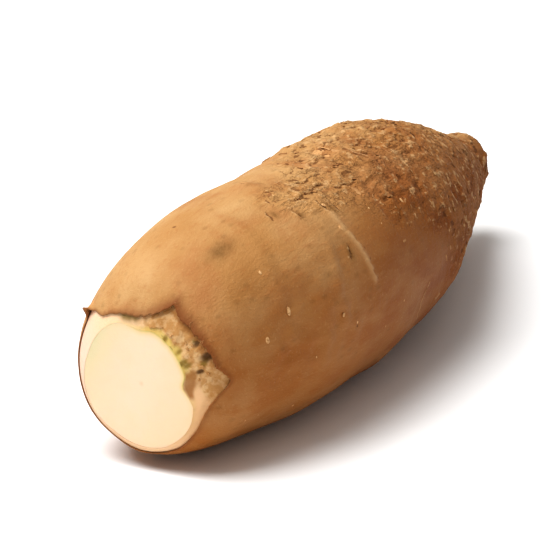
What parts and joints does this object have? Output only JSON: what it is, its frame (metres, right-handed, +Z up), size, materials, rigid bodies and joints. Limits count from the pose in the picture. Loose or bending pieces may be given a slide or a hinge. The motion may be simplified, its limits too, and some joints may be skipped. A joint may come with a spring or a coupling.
{
  "type": "cassava root",
  "caption": "Fresh cassava root with brown bark, a swollen belly and a slim neck, cut square at the thick end with its skin torn back round the cream flesh, lying on its side.",
  "frame": {"origin": "on the surface that the root lies on, under the middle of its bounding box", "axes": "+X along the root from its thick cut end to its trimmed neck, +Z up, +Y towards the side that the neck bends to"},
  "size_m": [0.23, 0.0712, 0.0673],
  "materials": {
    "bark": "matte papery brown bark, rough towards the neck",
    "rind": "moist pinkish tan inner rind, bare where the bark is torn",
    "flesh": "moist cream flesh, cut with a knife"
  },
  "bodies": {
    "root": {"cassava_root": "bark"}
  },
  "joints": []
}
